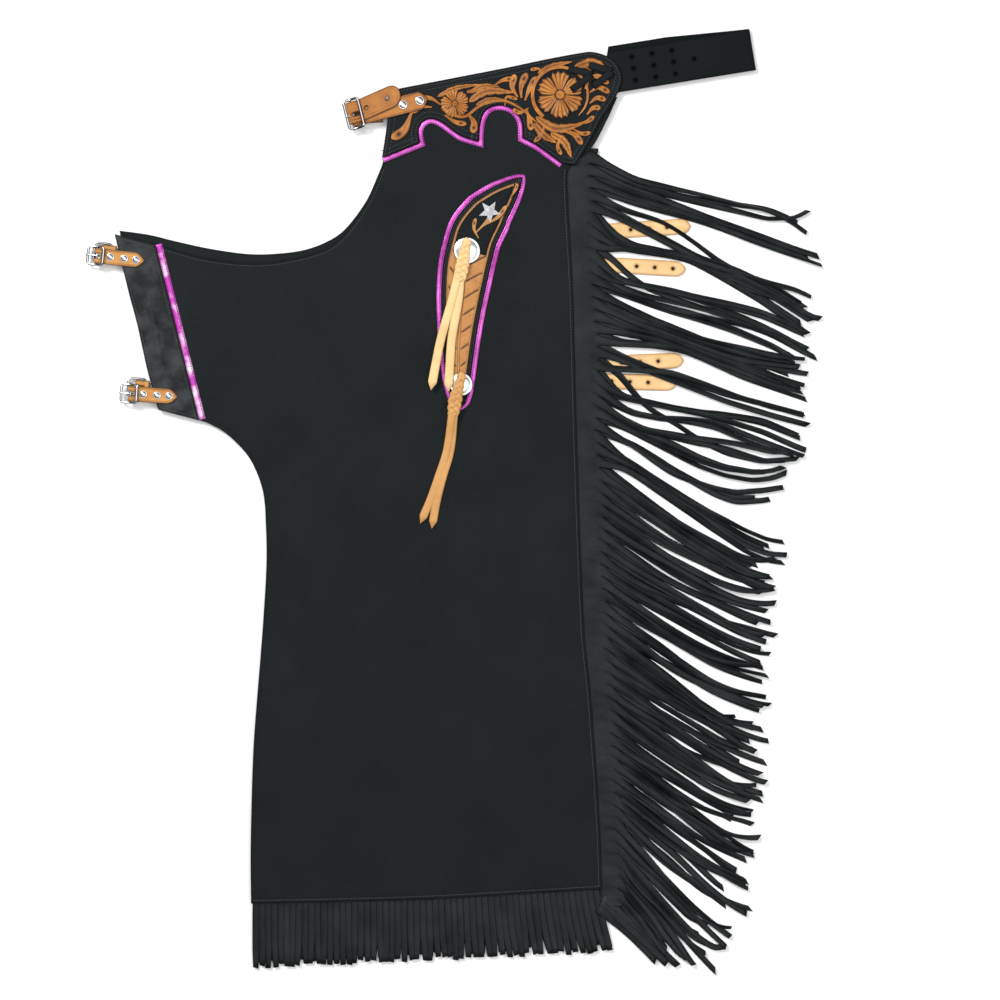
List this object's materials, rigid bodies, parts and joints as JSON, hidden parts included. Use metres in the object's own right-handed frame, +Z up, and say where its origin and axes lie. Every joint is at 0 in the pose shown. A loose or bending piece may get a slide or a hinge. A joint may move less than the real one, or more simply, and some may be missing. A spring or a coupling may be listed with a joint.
{
  "type": "leather chaps",
  "caption": "Fringed western riding chaps lying folded flat: tooled yoke, waist belt, long leaf applique with conchos and ties, buckled thigh straps, side and hem fringe",
  "frame": {"origin": "on the table plane, under the middle of the object's bounding box", "axes": "+Y from the hem to the waist belt, +Z up from the table, +X from the thigh buckles to the side fringe"},
  "size_m": [0.8063, 1.0392, 0.0177],
  "materials": {
    "black_leather": "pebbled black leather with a soft sheen",
    "smooth_leather": "smooth dark grey leather facing",
    "pink_foil": "metallic pink foil leather",
    "tooled_leather": "tan vegetable-tanned leather, tooled and antiqued",
    "strap_leather": "pale natural strap leather",
    "lace_leather": "pale braided lace leather",
    "nickel": "bright nickel plate",
    "grey_metal": "grey metallic foil leather"
  },
  "bodies": {
    "chaps": {"back_belt": "black_leather", "concho_lower": "nickel", "concho_upper": "nickel", "front_billet": "tooled_leather", "front_chape": "tooled_leather", "front_frame": "nickel", "front_prong": "nickel", "front_rivet_1": "nickel", "front_rivet_2": "nickel", "hem_fringe": "black_leather", "hem_fringe_under": "black_leather", "leaf_base": "black_leather", "leaf_overlay": "tooled_leather", "leaf_piping": "pink_foil", "leaf_star": "grey_metal", "leg_chape_lower": "tooled_leather", "leg_chape_upper": "tooled_leather", "leg_panel": "black_leather", "leg_rivet_lower_1": "nickel", "leg_rivet_lower_2": "nickel", "leg_rivet_lower_3": "nickel", "leg_rivet_upper_1": "nickel", "leg_rivet_upper_2": "nickel", "leg_rivet_upper_3": "nickel", "leg_under": "black_leather", "side_fringe_a": "black_leather", "side_fringe_b": "black_leather", "side_fringe_under": "black_leather", "strap_lower": "strap_leather", "strap_under_lower": "strap_leather", "strap_under_upper": "strap_leather", "strap_upper": "strap_leather", "thigh_facing": "smooth_leather", "thigh_piping": "pink_foil", "tie_lower": "lace_leather", "tie_upper": "lace_leather", "under_chape_lower": "tooled_leather", "under_chape_upper": "tooled_leather", "under_frame_lower": "nickel", "under_frame_upper": "nickel", "under_prong_lower": "nickel", "under_prong_upper": "nickel", "yoke": "black_leather", "yoke_flower_large": "tooled_leather", "yoke_flower_small": "tooled_leather", "yoke_leaf_1": "tooled_leather", "yoke_leaf_2": "tooled_leather", "yoke_leaf_3": "tooled_leather", "yoke_leaf_4": "tooled_leather", "yoke_leaf_5": "tooled_leather", "yoke_leaf_6": "tooled_leather", "yoke_piping": "pink_foil"},
    "frame_upper": {"leg_frame_upper": "nickel"},
    "prong_upper": {"leg_prong_upper": "nickel"},
    "frame_lower": {"leg_frame_lower": "nickel"},
    "prong_lower": {"leg_prong_lower": "nickel"}
  },
  "joints": [
    {"name": "buckle_upper_swing", "type": "hinge", "parent": "chaps", "child": "frame_upper", "pos_m": [-0.3916, 0.267, 0.0096], "axis": [0.1097, 0.994, 0], "range_deg": [0, 12]},
    {"name": "prong_upper_swing", "type": "hinge", "parent": "frame_upper", "child": "prong_upper", "pos_m": [-0.3916, 0.267, 0.0096], "axis": [0.1097, 0.994, 0], "range_deg": [0, 110]},
    {"name": "buckle_lower_swing", "type": "hinge", "parent": "chaps", "child": "frame_lower", "pos_m": [-0.3549, 0.1157, 0.0096], "axis": [0.0698, 0.9976, 0], "range_deg": [0, 12]},
    {"name": "prong_lower_swing", "type": "hinge", "parent": "frame_lower", "child": "prong_lower", "pos_m": [-0.3549, 0.1157, 0.0096], "axis": [0.0698, 0.9976, 0], "range_deg": [0, 110]}
  ]
}
